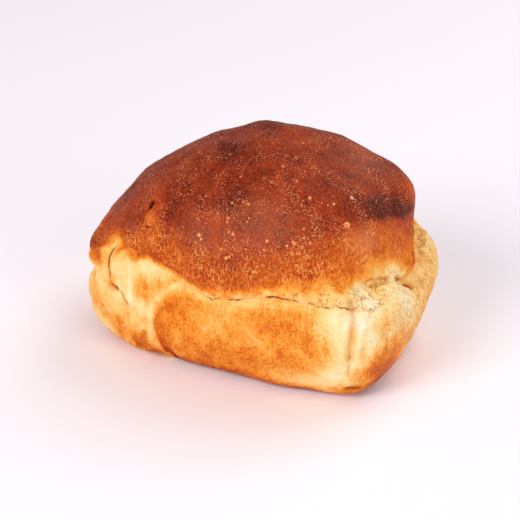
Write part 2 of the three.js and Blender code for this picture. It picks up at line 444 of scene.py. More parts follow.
@dataclass(frozen=True)
class CrustFinish:
    """Bread crust, from pale crumb to nearly burnt, by how far it baked, with shade painted into its cracks
    and a sheen painted on its crown.

    A field of two numbers is where a mask starts and where it is full.
    """

    name: str = "baked_crust"
    bake_stops: tuple[tuple[float, Colour], ...] = (
        (0.00, srgb(254, 240, 204)),
        (0.14, srgb(252, 224, 158)),
        (0.28, srgb(250, 200, 120)),
        (0.40, srgb(247, 170, 74)),
        (0.50, srgb(240, 145, 44)),
        (0.60, srgb(222, 116, 26)),
        (0.70, srgb(200, 88, 16)),
        (0.80, srgb(172, 63, 14)),
        (0.90, srgb(141, 46, 13)),
        (1.00, srgb(88, 22, 6)),
    )
    speck: Colour = srgb(236, 158, 112)
    low_speck: Colour = srgb(244, 166, 84)
    worm: Colour = srgb(244, 160, 86)
    flour: Colour = srgb(255, 214, 136)
    toasted: Colour = srgb(206, 146, 96)
    pore: Colour = srgb(246, 206, 150)
    shred: Colour = srgb(184, 108, 40)
    # Painted shade of cracks, creases, holes and slots: a darker orange band round them on the sides, a brown
    # line with a near-black heart, and a near-black line on the crown.
    shade_halo: Colour = srgb(222, 146, 66)
    seam: Colour = srgb(192, 106, 32)
    crack_shade_heart: Colour = srgb(88, 32, 3)
    crown_crack_shade: Colour = srgb(84, 12, 3)
    # Pale tint of the sheen painted on the crown.
    painted_sheen: Colour = srgb(255, 222, 184)

    broad: Mottling = Mottling(Clouds((12.0, 12.0, 12.0)), 0.24, on_sides=0.12)
    mottle: Mottling = Mottling(Clouds((4.6, 4.6, 6.0), 3.0, 0.6), 0.14, on_sides=0.12)
    flecks: Mottling = Mottling(Clouds((1.8, 1.8, 2.2), 2.0, 0.6), 0.2, on_sides=0.06, on_stipple=0.2)
    grain: Mottling = Mottling(Clouds((0.9, 0.9, 1.0), 1.0), 0.26, on_sides=0.14, on_toast=0.3)
    strokes: Mottling = Mottling(Clouds((1.0, 1.0, 4.5), 2.0, 0.6), on_sides=0.4)
    baked: Span = (0.10, 0.42)
    large_on_pale: float = 0.5
    large_gain: float = 0.5
    small_on_pale: float = 0.2
    small_gain: float = 0.7

    patches: Clouds = Clouds((11.0, 11.0, 14.0), 3.0)
    patch: Span = (-0.08, 0.12)
    worms: Clouds = Clouds((0.95, 0.95, 2.2), 1.0)
    worm_edge: Span = (0.02, 0.12)
    worm_strength: float = 0.34
    worm_gain_in_patches: float = 0.36
    fine_dots: Specks = Specks(0.9, 0.4, 0.6)
    fine_strength: float = 0.14
    fine_gain_in_patches: float = 0.58
    fine_gain_on_stipple: float = 0.2
    coarse_dots: Specks = Specks(2.2, 0.6, 0.35)
    coarse_strength: float = 0.65
    low_crown: Span = (0.0, 0.7)
    painted_sheen_strength: float = 0.05
    streak: Span = (0.16, 0.30)
    streak_strength: float = 0.5
    streak_flecks: float = 0.5
    browning: Span = (-0.10, 0.26)
    browning_strength: float = 0.8

    pits: Specks = Specks(1.7, 0.5, 0.4)
    pit_strength: float = 0.45
    crumb: Clouds = Clouds((1.7, 1.7, 1.3), 4.0, 0.65)
    crumb_pore: Span = (0.0, 0.24)
    crumb_strength: float = 0.4
    flakes: Clouds = Clouds((3.0, 3.0, 2.0), 1.5)
    flake_width: float = 0.07
    flake_torn: Span = (0.10, 0.45)
    flake_mottle: Span = (-0.10, 0.04)
    flake_strength: float = 0.85

    shade_halo_edge: Span = (0.05, 0.60)
    shade_halo_strength: float = 0.4
    line_edge: Span = (0.52, 0.80)
    line_heart: Span = (0.76, 0.95)

    fleck_height: float = 0.5
    mottle_height: float = 0.5
    grain_height: float = 0.3
    dot_height: float = 0.12
    stroke_height: float = 0.3
    crumb_height: float = 0.6
    pit_depth: float = 0.15
    shred_depth: float = 0.12

    roughness: float = 0.62
    crown_smoother: float = 0.12
    stipple_rougher: float = 0.25
    torn_rougher: float = 0.2
    fleck_rougher: float = 0.2
    specular: float = 0.09

    def build(self) -> bpy.types.Material:
        """Makes the material.

        Returns:
            The crust's material, which reads the values that the mesh carries at each point.
        """
        ground = self._ground(Board(self.name))
        masks, noises = ground.masks, ground.noises
        dots = self._dots(ground)
        colour = self._sides(ground, self._crown(ground, dots, self._baked(ground)))
        colour, height = self._torn(ground, colour)
        height = height + noises["flecks"] * self.fleck_height + noises["mottle"] * self.mottle_height
        height = height + noises["grain"] * self.grain_height + dots * self.dot_height
        height = height + noises["strokes"] * masks["sides"] * self.stroke_height
        roughness = self.roughness - masks["crown"] * self.crown_smoother + masks["torn"] * self.torn_rougher
        roughness = roughness + masks["stipple"] * self.stipple_rougher
        roughness = roughness + noises["flecks"] * self.fleck_rougher
        return ground.board.surface(
            {
                "Base Color": self._cracks(ground, colour),
                "Roughness": roughness,
                "Normal": ground.board.bump(height),
                "Specular IOR Level": self.specular,
            }
        )

    def _ground(self, board: Board) -> Ground:
        """Puts down what the layers read.

        Args:
            board: Where the nodes go.

        Returns:
            The masks, noises and patches.
        """
        place = board.millimetres()
        names = ("bake", "torn", "crown", "stipple", "toast", "seam", "specked", "painted_sheen")
        masks = {name: board.attribute(name) for name in names}
        masks["sides"] = 1 - masks["crown"]
        mottlings = ("broad", "mottle", "flecks", "grain", "strokes")
        noises = {name: board.clouds(place, getattr(self, name).look) for name in mottlings}
        patches = board.rise(board.clouds(place, self.patches), *self.patch)
        return Ground(board, place, masks, noises, patches)

    def _baked(self, ground: Ground) -> Signal:
        """Colours the crust by how far it baked, made uneven by the mottlings.

        Args:
            ground: What the layers read.

        Returns:
            The colour.
        """
        board, bake = ground.board, ground.masks["bake"]
        noises, masks = ground.noises, ground.masks
        change = {name: getattr(self, name).change(value, masks) for name, value in noises.items()}
        large = change["broad"] + change["mottle"]
        small = change["flecks"] + change["grain"] + change["strokes"]
        baked = board.rise(bake, *self.baked)
        level = bake + large * (self.large_on_pale + baked * self.large_gain)
        level = level + small * (self.small_on_pale + baked * self.small_gain)
        return board.add("ShaderNodeValToRGB", {"stops": self.bake_stops}, {0: level})

    def _dots(self, ground: Ground) -> Signal:
        """Scatters the crown's small pale dots.

        Args:
            ground: What the layers read.

        Returns:
            How much of a dot there is at each point.
        """
        board, masks, patches = ground.board, ground.masks, ground.patches
        fine = self.fine_strength + self.fine_gain_in_patches * patches
        fine = fine + self.fine_gain_on_stipple * masks["stipple"]
        fine = board.specks(ground.place, self.fine_dots) * fine
        coarse = board.specks(ground.place, self.coarse_dots) * patches * self.coarse_strength
        return masks["specked"] * (fine + coarse)

    def _crown(self, ground: Ground, dots: Signal, colour: Signal) -> Signal:
        """Lays the worms and dots of the crown over a colour, and paints a soft sheen on it as a pale tint.

        Args:
            ground: What the layers read.
            dots: How much of a dot there is.
            colour: The colour so far.

        Returns:
            The new colour.
        """
        board, masks = ground.board, ground.masks
        worms = board.rise(board.clouds(ground.place, self.worms), *self.worm_edge) * masks["stipple"]
        strength = self.worm_strength + self.worm_gain_in_patches * ground.patches
        colour = board.blend(worms * strength, colour, self.worm)
        low = board.rise(masks["stipple"], *self.low_crown)
        colour = board.blend(dots, colour, board.blend(low, self.speck, self.low_speck))
        # A soft sheen painted on the crown as a pale tint.
        return board.blend(masks["painted_sheen"] * self.painted_sheen_strength, colour, self.painted_sheen)

    def _sides(self, ground: Ground, colour: Signal) -> Signal:
        """Lays the floury streaks of the sides and the toasting of the right-hand end over a colour.

        Args:
            ground: What the layers read.
            colour: The colour so far.

        Returns:
            The new colour.
        """
        board, masks, noises = ground.board, ground.masks, ground.noises
        streaks = board.rise(noises["strokes"] + noises["flecks"] * self.streak_flecks, *self.streak)
        streaks = streaks * masks["sides"] * self.streak_strength
        colour = board.blend(streaks * (1 - masks["torn"]), colour, self.flour)
        browning = board.rise(noises["mottle"] + noises["flecks"] + noises["grain"], *self.browning)
        return board.blend(browning * masks["toast"] * self.browning_strength, colour, self.toasted)

    def _torn(self, ground: Ground, colour: Signal) -> tuple[Signal, Signal]:
        """Lays the pores and shreds of torn crumb over a colour.

        Args:
            ground: What the layers read.
            colour: The colour so far.

        Returns:
            The new colour, and the height of the torn crumb in millimetres.
        """
        board, torn = ground.board, ground.masks["torn"]
        pits = board.specks(ground.place, self.pits)
        crumb = board.clouds(ground.place, self.crumb)
        pores = pits * self.pit_strength + board.rise(crumb, *self.crumb_pore) * self.crumb_strength
        colour = board.blend(torn * pores, colour, self.pore)
        flakes = board.squiggles(ground.place, self.flakes, self.flake_width)
        flakes = flakes * board.rise(ground.noises["mottle"], *self.flake_mottle)
        shreds = flakes * board.rise(torn, *self.flake_torn) * self.flake_strength
        height = torn * (crumb * self.crumb_height - pits * self.pit_depth) - shreds * self.shred_depth
        return board.blend(shreds, colour, self.shred), height

    def _cracks(self, ground: Ground, colour: Signal) -> Signal:
        """Paints the shade in cracks and creases over a colour as dark lines, with a darker orange band of
        painted shade round them on the sides.

        Args:
            ground: What the layers read.
            colour: The colour so far.

        Returns:
            The new colour.
        """
        board, masks, seam = ground.board, ground.masks, ground.masks["seam"]
        shade_halo = board.rise(seam, *self.shade_halo_edge) * masks["sides"] * self.shade_halo_strength
        line = board.blend(board.rise(seam, *self.line_heart), self.seam, self.crack_shade_heart)
        line = board.blend(masks["crown"], line, self.crown_crack_shade)
        return board.blend(board.rise(seam, *self.line_edge), board.blend(shade_halo, colour, self.shade_halo), line)


@dataclass(frozen=True)
class BlisterFinish:
    """The paler, glossier skin of a blister on the crown."""

    name: str = "blister_skin"
    dark: Colour = srgb(212, 110, 46)
    light: Colour = srgb(246, 176, 88)
    tint: Clouds = Clouds((1.6, 1.6, 1.6))
    tint_edge: Span = (-0.2, 0.2)
    grain: Clouds = Clouds((0.5, 0.5, 0.5))
    roughness: float = 0.5
    grain_rougher: float = 0.2
    grain_height: float = 0.1

    def build(self) -> bpy.types.Material:
        """Makes the material.

        Returns:
            The blisters' material.
        """
        board = Board(self.name)
        place = board.millimetres()
        tint = board.rise(board.clouds(place, self.tint), *self.tint_edge)
        grain = board.clouds(place, self.grain)
        return board.surface(
            {
                "Base Color": board.blend(tint, self.dark, self.light),
                "Roughness": self.roughness + grain * self.grain_rougher,
                "Normal": board.bump(grain * self.grain_height),
            }
        )


@dataclass(frozen=True)
class FloorFinish:
    """The plain pale floor."""

    name: str = "pale_floor"
    colour: Colour = srgb(252, 247, 252)
    roughness: float = 0.9
    specular: float = 0.1

    def build(self) -> bpy.types.Material:
        """Makes the material.

        Returns:
            The floor's material.
        """
        inputs = {"Base Color": self.colour, "Roughness": self.roughness, "Specular IOR Level": self.specular}
        return Board(self.name).surface(inputs)


# ---------------------------------------------------------------- the loaf's form


@dataclass(frozen=True)
class Rise:
    """A local rise of some value round the loaf.

    It goes by compass angle in degrees: 0 is the right-hand end and -90 the front.
    """

    at: float
    spread: float
    rise: float

    def over(self, angle: np.ndarray) -> np.ndarray:
        """The rise at each compass angle."""
        turn = (angle - self.at + 180) % 360 - 180
        return self.rise * np.exp(-((turn / self.spread) ** 2))


def total_rise(rises: Sequence[Rise], angle: np.ndarray) -> np.ndarray:
    """The sum of several rises at each compass angle."""
    return sum(rise.over(angle) for rise in rises)


@dataclass(frozen=True)
class Swelling:
    """A rounded swelling pushed out from the heart of the loaf, or a hollow where its rise is negative."""

    name: str
    at: Point
    radius: float
    rise: float


@dataclass(frozen=True)
class Furrow:
    """A furrow along a short path over the skin; a negative depth is a ridge.

    Its crack shade is how dark the shade painted along its middle is, from 0 to 1, and it fades out at the
    crack shade's width.
    """

    name: str
    path: tuple[Point, ...]
    width: float
    depth: float
    seam: float = 0.0
    crack_shade_width: float = 1.9


class Zone(Enum):
    """The stretches of the skin, from the middle of the base to the summit."""

    BASE = 0
    FOOT = 1
    SIDE = 2
    TEAR = 3
    WALL = 4
    DOME = 5


@dataclass
class LoafForm:
    """The loaf's smooth form: a rounded body under a dome, with a torn band between rim and lip."""

    cells_long: int = 162
    cells_wide: int = 106
    side_rows: int = 52
    tear_rows: int = 18
    wall_rows: int = 46
    base_share: float = 0.55

    rim_half_length: float = 85.4
    rim_half_width: float = 54.9
    rim_squareness: float = 4.0
    side_taper: float = 10.6
    side_belly: float = 5.4
    foot_radius: float = 8.5
    shift_back: float = 0.5

    rim_height: float = 50.1
    rim_rise_to_right: float = 7.0
    rim_rise_to_front: float = 5.8
    rim_saddle: float = -1.0
    rim_rises: tuple[Rise, ...] = (
        Rise(40, 17, 4.0),
        Rise(3, 15, -9),
        Rise(-39, 9, -4),
        Rise(-88, 12, -6),
        Rise(-113, 9, 4.5),
        Rise(-150, 16, -5.5),
    )
    rim_raggedness: float = 1.7
    rim_waves: float = 9.0
    tear_raggedness: float = 0.12
    tear_waves: float = 14.0
    ragged_steps: int = 1441
    ragged_octaves: int = 4

    tear_height: float = 2.5
    tear_rises: tuple[Rise, ...] = (Rise(-47, 13, 7.5), Rise(-127, 22, 13), Rise(42, 16, 6.5))
    roll_depth: float = 5.0
    roll_rises: tuple[Rise, ...] = (Rise(0, 45, 7),)
    roll_lateness: float = 3.0
    groove_half_height: float = 1.5
    groove_half_height_rises: tuple[Rise, ...] = (Rise(-160, 30, 4.0),)
    groove_depths: tuple[Rise, ...] = (
        Rise(-76, 20, 1.2),
        Rise(-157, 18, 5.5),
        Rise(170, 24, 3.0),
        Rise(100, 40, 1.5),
    )

    crown_half_length_right: float = 75.3
    crown_half_length_left: float = 87.6
    crown_half_width: float = 56.3
    crown_squareness: float = 2.9
    crown_lean: tuple[float, float] = (1.5, 1.4)
    summit_squareness: float = 2.2
    summit_height: float = 114.8
    summit_slope: float = 0.02
    summit_drop_to_ends: float = -0.11
    summit_reach: float = 81.0
    dome_fullness: float = 2.49
    dome_fullness_to_right: float = 0.55
    shoulder_angle: float = 48.0

    heart_height: float = 49.5
    steepest_down_push: float = -9.0
    swellings: tuple[Swelling, ...] = (
        Swelling("summit", (-3, 27, 106), 20, 0.9),
        Swelling("peak of the summit", (-11, 25, 110), 8, 0.8),
        Swelling("dip left of the peak", (-22, 22, 107), 7, -0.9),
        Swelling("dip right of the peak", (7, 31, 110), 12, -0.8),
        Swelling("right shoulder", (68.4, 32.4, 88.2), 18, 5.2),
        Swelling("hollow under the right shoulder", (75, 24, 76), 7, -1.8),
        Swelling("saddle", (52.2, 39.6, 100.8), 18, 1.1),
        Swelling("left shoulder", (-70.2, 16.2, 72), 23.4, 3),
        Swelling("dip of the left shoulder", (-75, -3, 73), 7, -1.4),
        Swelling("bump of the left shoulder", (-66, 7, 83), 6, 0.8),
        Swelling("dip over the left shoulder", (-57, 9, 90), 6, -0.8),
        Swelling("left foot", (-79.2, -19.8, 19.8), 16.2, 1.2),
        Swelling("front of the left foot", (-80, -38, 24), 11, -1.4),
        Swelling("left belly", (-79, -33, 56), 11, 3.5),
        Swelling("right base corner", (75.6, -21.6, 7.2), 18, -0.9),
        Swelling("right foot", (82.8, 18, 27), 19.8, -2),
        Swelling("right foot's edge", (81, 9, 11), 12, -1.1),
        Swelling("right lobe", (84, 32, 43), 11, 1.3),
        Swelling("right jowl", (77, 9, 56), 9, 4.5),
        Swelling("back of the right shoulder", (31, 25, 109), 15, 1.2),
        Swelling("left toe", (-46, -47, 6), 7, 2.2),
        Swelling("hollow right of the left toe", (-39, -47, 4), 5, -2.4),
        Swelling("nick right of the left toe", (-30, -45, 3), 3.5, -3.5),
        Swelling("hollow over the left toe", (-60, -46, 15), 10, -1.4),
        Swelling("front foot", (31, -44, 3), 9, 1.4),
        Swelling("right corner's foot", (65, -39, 4), 7, 1.4),
    )

    @property
    def cells_high(self) -> int:
        """Rows of cells up the cube's sides."""
        return self.side_rows + self.tear_rows + self.wall_rows

    def rim(self, angle: np.ndarray) -> np.ndarray:
        """Height of the rim, ragged as the dough broke.

        Args:
            angle: Compass angles, in degrees.

        Returns:
            The height at each angle.
        """
        turn = np.radians(angle)
        slopes = self.rim_rise_to_right * np.cos(turn) - self.rim_rise_to_front * np.sin(turn)
        ragged = self.rim_raggedness * self._ragged(angle, self.rim_waves)
        height = self.rim_height + slopes + self.rim_saddle * np.cos(2 * turn)
        return height + total_rise(self.rim_rises, angle) + ragged

    def tear(self, angle: np.ndarray) -> np.ndarray:
        """Height of the torn band above the rim at each compass angle."""
        ragged = 1 + self.tear_raggedness * self._ragged(angle, self.tear_waves)
        return (self.tear_height + total_rise(self.tear_rises, angle)) * ragged

    def _ragged(self, angle: np.ndarray, waves: float) -> np.ndarray:
        """Uneven waves round the loaf that meet themselves after a full turn.

        Args:
            angle: Compass angles, in degrees.
            waves: How many waves there are to a radian of turn; it also picks the pattern.

        Returns:
            The height of the waves at each angle, about -1 to 1.
        """
        steps = np.linspace(-180, 180, self.ragged_steps)
        turn = np.radians(steps)
        ring = np.stack([np.cos(turn), np.sin(turn), np.zeros_like(turn)], axis=1)
        around = unevenness(ring, (1 / waves,) * 3, octaves=self.ragged_octaves, seed=waves)
        return np.interp(angle, steps, around)

    def _roll(self, above_rim: np.ndarray, angle: np.ndarray, tear: np.ndarray) -> np.ndarray:
        """How far the skin has rolled in: 0 on the tin-baked side, 1 from the lip upwards."""
        roll = self.roll_depth + total_rise(self.roll_rises, angle)
        return np.clip((above_rim + roll) / (roll + tear), 0, 1) ** self.roll_lateness

    def _groove(self, above_rim: np.ndarray, angle: np.ndarray) -> np.ndarray:
        """Depth of the groove along the rim."""
        half_height = self.groove_half_height + total_rise(self.groove_half_height_rises, angle)
        return total_rise(self.groove_depths, angle) * np.exp(-((above_rim / half_height) ** 2))

    @staticmethod
    def _outline(
        cube: np.ndarray,
        right: np.ndarray | float,
        left: np.ndarray | float,
        width: np.ndarray | float,
        squareness: np.ndarray | float,
    ) -> np.ndarray:
        """Moves the cube's square outline to a rounded rectangle.

        Args:
            cube: Points of the cube.
            right: Half length towards the right-hand end.
            left: Half length towards the left-hand end.
            width: Half width.
            squareness: 2 for an ellipse, more for squarer corners.

        Returns:
            The place along and across the loaf for each point.
        """
        size = (np.abs(cube[:, 0]) ** squareness + np.abs(cube[:, 1]) ** squareness) ** (1 / squareness)
        size = np.where(size < NOTHING, 1.0, size)
        half_length = np.where(cube[:, 0] > 0, right, left)
        return np.stack([cube[:, 0] / size * half_length, cube[:, 1] / size * width], axis=1)

    def _tin_outline(self, cube: np.ndarray, grow: np.ndarray) -> np.ndarray:
        """The tin's outline, grown on every side."""
        length = self.rim_half_length + grow
        return self._outline(cube, length, length, self.rim_half_width + grow, self.rim_squareness)

    def _crown_outline(
        self, cube: np.ndarray, grow: np.ndarray | float, squareness: np.ndarray | float
    ) -> np.ndarray:
        """The crown's outline.

        Args:
            cube: Points of the cube.
            grow: How much wider it is on every side.
            squareness: 2 for an ellipse, more for squarer corners.

        Returns:
            The place along and across the loaf for each point.
        """
        return self._outline(
            cube,
            self.crown_half_length_right + grow,
            self.crown_half_length_left + grow,
            self.crown_half_width + grow,
            squareness,
        )

    def _body(self, cube: np.ndarray, foot: np.ndarray, side: np.ndarray, reach: np.ndarray) -> np.ndarray:
        """The base, foot and side.

        Args:
            cube: Points of the cube.
            foot: How far round the foot each point is, from 0 to 1.
            side: How far from the foot to the rim, from 0 to 1.
            reach: How far from the middle of the base to its edge, 1 above the base.

        Returns:
            The place of each point.
        """
        angle = np.degrees(np.arctan2(cube[:, 1], cube[:, 0]))
        rim = self.rim(angle)
        turn = foot * np.pi / 2
        height = self.foot_radius * (1 - np.cos(turn)) + (rim - self.foot_radius) * side
        share = height / rim
        groove = self._groove(height - rim, angle)
        taper = self.side_taper * (1 - share) + self.foot_radius * (1 - np.sin(turn))
        grow = self.side_belly * np.sin(np.pi * share) - taper - groove
        roll = self._roll(height - rim, angle, self.tear(angle))[:, None]
        crown = self._crown_outline(cube, -groove, self.crown_squareness)
        edge = mix(self._tin_outline(cube, grow), crown, roll) * reach[:, None]
        return np.column_stack([edge, height])

    def _summit(self, along: np.ndarray) -> np.ndarray:
        """Height of the dome's ridge along the loaf."""
        return self.summit_height * (1 + self.summit_slope * along + self.summit_drop_to_ends * along**2)

    def _lip_angle(self, cube: np.ndarray, angle: np.ndarray) -> np.ndarray:
        """The angle up the dome's profile where the torn band ends."""
        along = self._crown_outline(cube, 0.0, self.crown_squareness)[:, 0] / self.summit_reach
        return np.degrees(np.arctan(self.tear(angle) / (self._summit(along) - self.rim(angle))))

    def _crown(self, cube: np.ndarray, climb: np.ndarray) -> np.ndarray:
        """The torn band, the crown's wall and the dome.

        Args:
            cube: Points of the cube.
            climb: Angle up the dome's profile, from 0 at the rim to 90 at the summit.

        Returns:
            The place of each point.
        """
        angle = np.degrees(np.arctan2(cube[:, 1], cube[:, 0]))
        fullness = self.dome_fullness + self.dome_fullness_to_right * np.cos(np.radians(angle))
        inward = np.abs(np.cos(np.radians(climb)))
        up = np.sin(np.radians(climb))
        size = (inward**fullness + up**fullness) ** (-1 / fullness)
        inward, up = (inward * size)[:, None], up * size
        lean = np.array(self.crown_lean) * up[:, None]
        squareness = mix(self.crown_squareness, self.summit_squareness, smooth(up))
        middle = self._crown_outline(cube, 0.0, squareness) * inward + lean
        rim = self.rim(angle)
        height = mix(rim, self._summit(middle[:, 0] / self.summit_reach), up)
        groove = self._groove(height - rim, angle)
        dome = self._crown_outline(cube, -groove, squareness) * inward + lean
        roll = self._roll(height - rim, angle, self.tear(angle))[:, None]
        return np.column_stack([mix(self._tin_outline(cube, -groove) * inward, dome, roll), height])

    def shape(self, cube: np.ndarray) -> tuple[np.ndarray, np.ndarray]:
        """Moves a gridded cube's points to the loaf's smooth form.

        Args:
            cube: The cube's points, from -1 to 1.

        Returns:
            The places in millimetres, and the number of each point's Zone.
        """
        angle = np.degrees(np.arctan2(cube[:, 1], cube[:, 0]))
        row = np.round((cube[:, 2] + 1) / 2 * self.cells_high)
        ring = np.max(np.abs(cube[:, :2]), axis=1)
        lip_row = self.side_rows + self.tear_rows
        on_base, on_top = row == 0, row == self.cells_high
        zone = np.select(
            [on_base & (ring < self.base_share), on_base, on_top, row <= self.side_rows, row <= lip_row],
            [Zone.BASE.value, Zone.FOOT.value, Zone.DOME.value, Zone.SIDE.value, Zone.TEAR.value],
            Zone.WALL.value,
        )
        reach = np.where(on_base, np.minimum(ring / self.base_share, 1.0), 1.0)
        foot = np.where(on_base, np.clip((ring - self.base_share) / (1 - self.base_share), 0, 1), 1.0)
        side = np.clip(row / self.side_rows, 0, 1)
        lip = self._lip_angle(cube, angle)
        wall = mix(lip, self.shoulder_angle, (row - lip_row) / self.wall_rows)
        tear = lip * (row - self.side_rows) / self.tear_rows
        climb = np.where(zone == Zone.TEAR.value, tear, wall)
        climb = np.where(on_top, mix(90.0, self.shoulder_angle, ring), climb)
        low = zone <= Zone.SIDE.value
        body = self._body(cube, foot, side, reach)
        crown = self._crown(cube, np.where(low, 0.0, climb))
        places = np.where(low[:, None], body, crown)
        places[:, 1] += self.shift_back
        return self._swell(places), zone

    def _swell(self, places: np.ndarray) -> np.ndarray:
        """Adds the swellings, and keeps the base flat.

        Args:
            places: Points in millimetres.

        Returns:
            The moved points.
        """
        for swelling in self.swellings:
            x, y, z = swelling.at
            push = np.array([x, y, max(z - self.heart_height, self.steepest_down_push)])
            apart = np.linalg.norm(places - np.array(swelling.at), axis=1)
            share = swelling.rise * np.exp(-((apart / swelling.radius) ** 2))
            places = places + share[:, None] * push / np.linalg.norm(push)
        places[:, 2] = np.maximum(places[:, 2], 0.0)
        return places


@dataclass(frozen=True)
class Skin:
    """The loaf's smooth skin, with a row or a value for each of its points.

    The zone is the number of its Zone, and the angle is by compass, in degrees. Above rim is its height above
    the rim at that angle, and tear is the height of the torn band there.
    """

    places: np.ndarray
    outward: np.ndarray
    zone: np.ndarray
    angle: np.ndarray
    above_rim: np.ndarray
    tear: np.ndarray


@dataclass(frozen=True)
class Lumps:
    """A noise over the skin: the size of its lumps along each axis, its finer layers and its pattern."""

    grain: Point
    octaves: int
    seed: float

    def over(self, places: np.ndarray) -> np.ndarray:
        """The noise at each place, about -1 to 1."""
        return unevenness(places, self.grain, self.octaves, self.seed)


# ---------------------------------------------------------------- how it baked


@dataclass(frozen=True)
class Spot:
    """A place on the skin drawn darker than its surroundings, or paler where its change is negative: mostly
    how it baked, but some are painted shade, highlight or sheen.

    A crispness of 2 fades softly from the middle, and a higher one holds level and stops at an edge. The
    wander is how far unevenness moves that edge, as a share of the radius.
    """

    name: str
    at: Point
    radius: Point
    change: float
    crispness: float = 2.0
    wander: float = 0.35

    def over(self, places: np.ndarray, drift: np.ndarray) -> np.ndarray:
        """The change at each place; the drift makes its edge wander."""
        apart = np.linalg.norm((places - np.array(self.at)) / np.array(self.radius), axis=1)
        return self.change * np.exp(-((apart * (1 + self.wander * drift)) ** self.crispness))


@dataclass(frozen=True)
class GoldenFront:
    """The golden stretch of the front: a bowed, dark, sharp edge at the left and a soft one at the right."""

    level: float = 0.48
    left: float = -36.0
    bow_above: float = 12.5
    bow_below: float = 3.5
    bow_height: float = 29.0
    bow_reach: float = 22.0
    left_softness: float = 1.6
    top_softness: float = 9.0
    edge_darker: float = 0.16
    edge_reach: float = 8.0
    outside_paler: float = 0.14
    outside_reach: float = 2.0
    right: float = 57.0
    right_softness: float = 16.0
    right_wander: float = 3.0

    def over(self, pale: np.ndarray, places: np.ndarray, drift: np.ndarray) -> np.ndarray:
        """Lays the golden stretch over the pale crust.

        Args:
            pale: The bake of the pale crust at each point.
            places: Points in millimetres.
            drift: Slow unevenness at each point, which makes the edges wander.

        Returns:
            The bake at each point.
        """
        height = (places[:, 2] - self.bow_height) / self.bow_reach
        start = self.left + np.where(height > 0, self.bow_above, self.bow_below) * height**2
        inside = places[:, 0] - start + drift
        from_left = smooth(inside / (self.left_softness + self.top_softness * smooth(height)))
        from_right = smooth((self.right - places[:, 0] + drift * self.right_wander) / self.right_softness)
        gold = self.level + self.edge_darker * np.exp(-((inside / self.edge_reach) ** 2))
        pale = pale - self.outside_paler * np.exp(-((inside / self.outside_reach + 1) ** 2))
        return mix(pale, gold, from_left * from_right)


